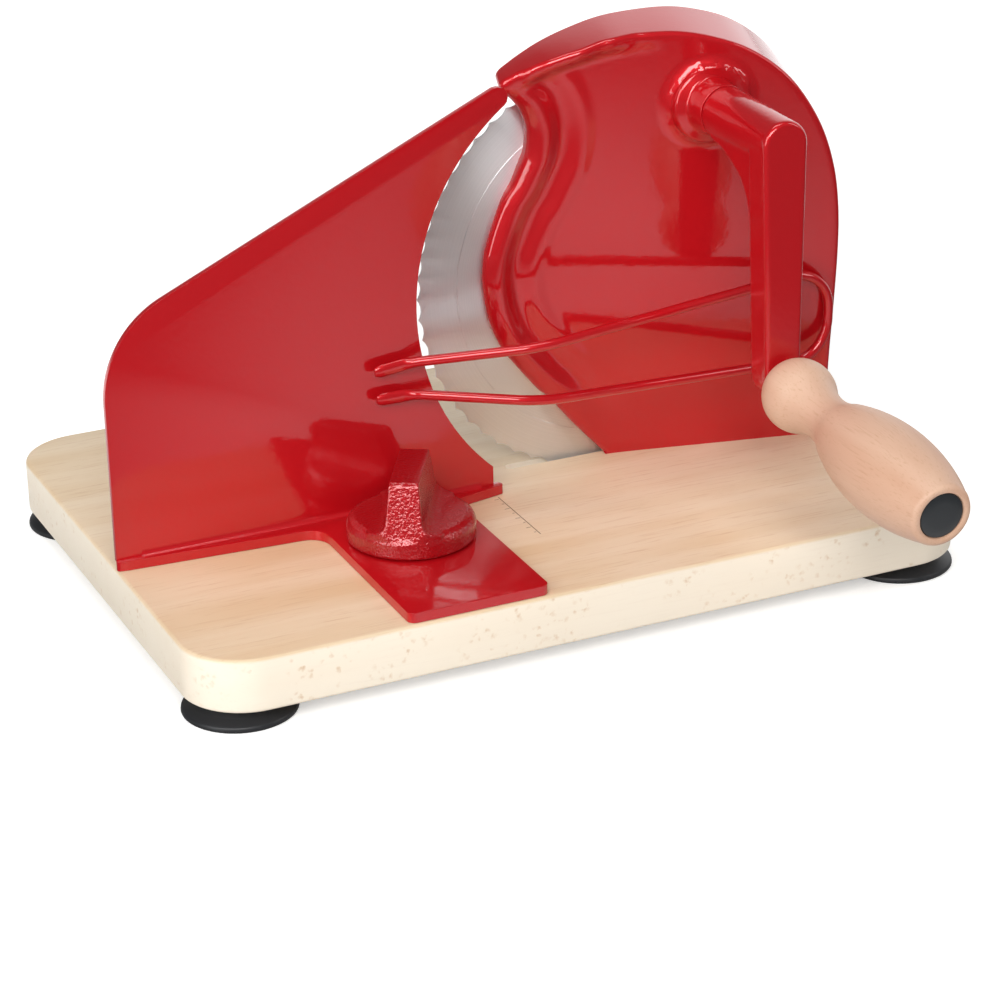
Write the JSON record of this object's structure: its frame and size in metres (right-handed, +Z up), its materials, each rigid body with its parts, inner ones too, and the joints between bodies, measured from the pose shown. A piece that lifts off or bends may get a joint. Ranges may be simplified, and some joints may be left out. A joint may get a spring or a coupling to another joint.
{
  "type": "bread slicer with crank",
  "caption": "Hand cranked bread slicer: round serrated blade in a cast housing on a wooden board, with a sliding stop plate, clamp knob and wire slice guard.",
  "frame": {"origin": "centre of the wooden board's plan, on the table plane under the suction feet", "axes": "+X to the right along the board, +Y away from the user who faces the crank, +Z up"},
  "size_m": [0.322, 0.3236, 0.2113],
  "materials": {
    "beech": "oiled beech",
    "rubber": "matte",
    "zinc": "zinc plated",
    "black_plastic": "matte",
    "red_coat": "glossy powder coat",
    "hammered_red": "glossy hammered enamel",
    "brass": "turned",
    "blade_steel": "ground, fine circular lines",
    "gear_plastic": "moulded natural",
    "grip_wood": "turned beech, clear lacquer"
  },
  "bodies": {
    "base": {"base_board": "beech", "suction_feet": "rubber", "foot_screws": "zinc", "guide_keys": "black_plastic", "clamp_bolt": "zinc", "knob_washer": "zinc", "housing": "red_coat", "housing_screws": "zinc", "crank_bushes": "black_plastic", "blade_axle": "zinc", "blade_washer": "zinc", "blade_screw": "zinc", "idler_pin": "zinc", "idler_clip": "zinc", "wire_guard": "red_coat", "guard_block": "red_coat", "guard_clamp": "red_coat", "guard_screw": "zinc"},
    "plate": {"stop_plate": "red_coat", "plate_foot": "red_coat"},
    "knob": {"clamp_knob": "hammered_red", "knob_insert": "brass"},
    "crank": {"crank_shaft": "zinc", "drive_gear": "gear_plastic", "thrust_washer": "black_plastic", "shaft_clip": "zinc", "crank_arm": "red_coat", "shaft_pin": "zinc", "grip_spindle": "zinc"},
    "idler": {"idler_gear": "gear_plastic"},
    "cutter": {"blade": "blade_steel", "blade_gear": "gear_plastic", "blade_rivets": "zinc", "blade_bush": "black_plastic"},
    "handle": {"grip": "grip_wood", "grip_cap": "black_plastic"}
  },
  "joints": [
    {"name": "plate_slide", "type": "slide", "parent": "base", "child": "plate", "axis": [0, 1, 0], "range_m": [0, 0.018]},
    {"name": "knob_turn", "type": "hinge", "parent": "base", "child": "knob", "pos_m": [-0.0512, -0.051, 0.04], "axis": [0, 0, 1], "range_deg": [0, 180]},
    {"name": "crank_turn", "type": "hinge", "parent": "base", "child": "crank", "pos_m": [0.08936, 0, 0.17857], "axis": [0, 1, 0], "continuous": true},
    {"name": "idler_spin", "type": "hinge", "parent": "base", "child": "idler", "pos_m": [0.07452, 0, 0.14169], "axis": [0, 1, 0], "continuous": true},
    {"name": "blade_spin", "type": "hinge", "parent": "base", "child": "cutter", "pos_m": [0.0608, 0, 0.1076], "axis": [0, 1, 0], "continuous": true},
    {"name": "grip_spin", "type": "hinge", "parent": "crank", "child": "handle", "pos_m": [0.08936, -0.0892, 0.084], "axis": [0, -0.9962, -0.0872], "continuous": true}
  ],
  "couplings": [
    {"joint": "idler_spin", "follows": "crank_turn", "ratio": -0.82759},
    {"joint": "blade_spin", "follows": "crank_turn", "ratio": 1.2}
  ]
}
